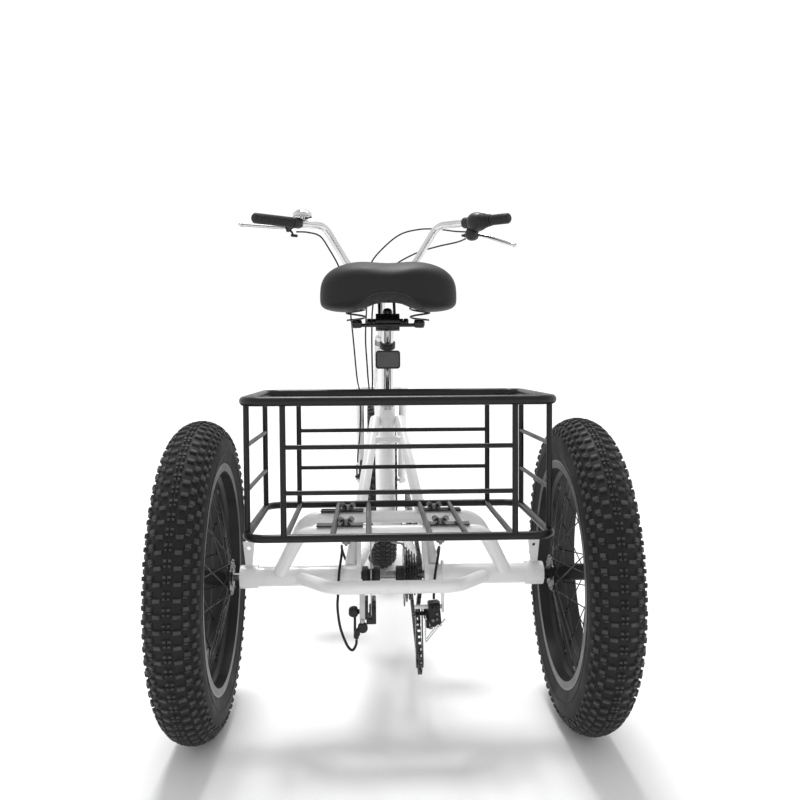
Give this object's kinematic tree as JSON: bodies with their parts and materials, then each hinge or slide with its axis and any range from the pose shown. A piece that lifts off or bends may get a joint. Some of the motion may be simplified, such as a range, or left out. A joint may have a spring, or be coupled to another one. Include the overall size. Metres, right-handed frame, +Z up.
{
  "type": "adult tricycle",
  "caption": "Adult tricycle with fat tyres, a white step-through frame, a rear wire cargo basket, a sprung saddle, disc brakes and hub-side gears for riding and carrying loads.",
  "frame": {"origin": "on the ground, midway between the front and rear axles and between the rear wheels", "axes": "+Y is forward, +X is the rider's right, +Z is up"},
  "size_m": [0.821, 1.8848, 1.1556],
  "materials": {
    "white_paint": "gloss",
    "black_paint": "satin powder coat",
    "bearing_steel": "satin",
    "clamp_alloy": "polished",
    "tyre_rubber": "matt",
    "rim_alloy": "black anodised with a machined edge",
    "spoke_steel": "black",
    "hub_alloy": "black anodised",
    "axle_steel": "satin",
    "rotor_steel": "satin",
    "chrome_plate": "polished",
    "grip_rubber": "matt",
    "black_plastic": "moulded",
    "lever_alloy": "polished",
    "caliper_alloy": "satin",
    "cable_sheath": "satin",
    "chain_steel": "oiled",
    "cog_steel": "oiled",
    "saddle_vinyl": "smooth vinyl",
    "spring_steel": "gloss",
    "reflector_lens": "gloss",
    "zinc_bolt": "zinc plated"
  },
  "bodies": {
    "frame": {"main_frame": "white_paint", "rear_stays": "white_paint", "axle_housings": "white_paint", "rack_hoops": "white_paint", "rear_guard": "white_paint", "bearings": "bearing_steel", "seat_clamp": "clamp_alloy", "basket_rim": "black_paint", "basket_floor": "black_paint", "basket_walls": "black_paint", "basket_brackets": "black_paint", "basket_bolts": "zinc_bolt", "rear_caliper": "caliper_alloy", "derailleur_hanger": "white_paint", "rear_brake_cable": "cable_sheath", "shift_cable": "cable_sheath", "chain": "chain_steel"},
    "drive_axle": {"drive_axle": "axle_steel", "rear_rotor": "rotor_steel", "right_tyre": "tyre_rubber", "right_rim": "rim_alloy", "right_spokes": "spoke_steel", "right_hub": "hub_alloy"},
    "left_wheel": {"left_tyre": "tyre_rubber", "left_rim": "rim_alloy", "left_spokes": "spoke_steel", "left_hub": "hub_alloy"},
    "front_wheel": {"front_tyre": "tyre_rubber", "front_rim": "rim_alloy", "front_spokes": "spoke_steel", "front_hub": "hub_alloy", "front_rotor": "rotor_steel"},
    "steering": {"fork": "white_paint", "stem": "chrome_plate", "handlebar": "chrome_plate", "grips": "grip_rubber", "lever_mounts": "black_plastic", "bell": "chrome_plate", "front_caliper": "caliper_alloy", "front_brake_cable": "cable_sheath"},
    "shifter_grip": {"twist_shifter": "black_plastic"},
    "left_lever": {"left_brake_lever": "lever_alloy"},
    "right_lever": {"right_brake_lever": "lever_alloy"},
    "bell_thumb": {"bell_striker": "black_plastic"},
    "front_arm": {"front_brake_arm": "caliper_alloy"},
    "rear_arm": {"rear_brake_arm": "caliper_alloy"},
    "seat": {"seat_post": "chrome_plate", "saddle_frame": "spring_steel", "saddle_springs": "spring_steel", "reflector": "reflector_lens"},
    "saddle_top": {"saddle": "saddle_vinyl"},
    "cranks": {"chainring": "cog_steel", "crank_arms": "caliper_alloy"},
    "left_pedal_body": {"left_pedal": "black_plastic"},
    "right_pedal_body": {"right_pedal": "black_plastic"},
    "freewheel_cogs": {"freewheel": "cog_steel"},
    "derailleur": {"derailleur_body": "black_plastic"},
    "cage": {"derailleur_cage": "caliper_alloy"},
    "guide_wheel": {"guide_pulley": "black_plastic"},
    "tension_wheel": {"tension_pulley": "black_plastic"}
  },
  "joints": [
    {"name": "steering_turn", "type": "hinge", "parent": "frame", "child": "steering", "pos_m": [0, 0.45222, 0.69557], "axis": [0, -0.342, 0.9397], "range_deg": [-45, 45], "deforming": ["rear_brake_cable", "shift_cable"]},
    {"name": "front_wheel_spin", "type": "hinge", "parent": "steering", "child": "front_wheel", "pos_m": [0, 0.645, 0.2975], "axis": [1, 0, 0], "continuous": true},
    {"name": "drive_axle_spin", "type": "hinge", "parent": "frame", "child": "drive_axle", "pos_m": [0, -0.645, 0.2975], "axis": [1, 0, 0], "continuous": true},
    {"name": "left_wheel_spin", "type": "hinge", "parent": "frame", "child": "left_wheel", "pos_m": [-0.36, -0.645, 0.2975], "axis": [1, 0, 0], "continuous": true},
    {"name": "crank_spin", "type": "hinge", "parent": "frame", "child": "cranks", "pos_m": [0, -0.17, 0.295], "axis": [1, 0, 0], "continuous": true},
    {"name": "left_pedal_spin", "type": "hinge", "parent": "cranks", "child": "left_pedal_body", "pos_m": [-0.132, -0.00861, 0.26069], "axis": [1, 0, 0], "continuous": true},
    {"name": "right_pedal_spin", "type": "hinge", "parent": "cranks", "child": "right_pedal_body", "pos_m": [0.132, -0.33139, 0.32931], "axis": [1, 0, 0], "continuous": true},
    {"name": "freewheel_spin", "type": "hinge", "parent": "frame", "child": "freewheel_cogs", "pos_m": [0.036, -0.645, 0.2975], "axis": [1, 0, 0], "continuous": true},
    {"name": "left_lever_pull", "type": "hinge", "parent": "steering", "child": "left_lever", "pos_m": [-0.27788, 0.30176, 1.09996], "axis": [0, 0, 1], "range_deg": [0, 12], "stiffness_Nm_per_rad": 1.2, "springref_deg": -8.59},
    {"name": "front_arm_pull", "type": "hinge", "parent": "steering", "child": "front_arm", "pos_m": [-0.079, 0.547, 0.3235], "axis": [-1, 0, 0], "range_deg": [0, 12]},
    {"name": "right_lever_pull", "type": "hinge", "parent": "steering", "child": "right_lever", "pos_m": [0.27223, 0.30178, 1.08406], "axis": [-0.5104, -0.4813, -0.7126], "range_deg": [0, 12], "stiffness_Nm_per_rad": 1.2, "springref_deg": -8.59},
    {"name": "rear_arm_pull", "type": "hinge", "parent": "frame", "child": "rear_arm", "pos_m": [-0.069, -0.66, 0.2265], "axis": [1, 0, 0], "range_deg": [0, 12]},
    {"name": "gear_twist", "type": "hinge", "parent": "steering", "child": "shifter_grip", "pos_m": [0.28903, 0.24235, 1.11064], "axis": [0.705, -0.7087, -0.0262], "range_deg": [0, 80]},
    {"name": "derailleur_shift", "type": "slide", "parent": "frame", "child": "derailleur", "axis": [1, 0, 0], "range_m": [-0.03, 0], "deforming": ["chain", "shift_cable"]},
    {"name": "cage_swing", "type": "hinge", "parent": "derailleur", "child": "cage", "pos_m": [0.052, -0.615, 0.2125], "axis": [1, 0, 0], "range_deg": [-15, 20], "stiffness_Nm_per_rad": 0.8, "deforming": ["chain"]},
    {"name": "guide_wheel_spin", "type": "hinge", "parent": "cage", "child": "guide_wheel", "pos_m": [0.052, -0.615, 0.2125], "axis": [1, 0, 0], "continuous": true},
    {"name": "tension_wheel_spin", "type": "hinge", "parent": "cage", "child": "tension_wheel", "pos_m": [0.052, -0.633, 0.1255], "axis": [1, 0, 0], "continuous": true},
    {"name": "bell_ring", "type": "hinge", "parent": "steering", "child": "bell_thumb", "pos_m": [-0.22104, 0.28463, 1.12969], "axis": [0, 0, 1], "range_deg": [0, 20], "stiffness_Nm_per_rad": 0.05, "springref_deg": -11.46},
    {"name": "seat_height", "type": "slide", "parent": "frame", "child": "seat", "axis": [0, -0.3939, 0.9191], "range_m": [-0.03, 0.08]},
    {"name": "saddle_bounce", "type": "hinge", "parent": "seat", "child": "saddle_top", "pos_m": [0, -0.3, 0.842], "axis": [1, 0, 0], "range_deg": [0, 4], "stiffness_Nm_per_rad": 300, "springref_deg": -1.15, "deforming": ["saddle_springs"]}
  ],
  "couplings": [
    {"joint": "freewheel_spin", "follows": "crank_spin", "ratio": 3.1429},
    {"joint": "guide_wheel_spin", "follows": "crank_spin", "ratio": -4},
    {"joint": "tension_wheel_spin", "follows": "crank_spin", "ratio": 4},
    {"joint": "front_arm_pull", "follows": "left_lever_pull", "ratio": 1},
    {"joint": "rear_arm_pull", "follows": "right_lever_pull", "ratio": 1},
    {"joint": "derailleur_shift", "follows": "gear_twist", "m_per_rad": -0.021486}
  ]
}
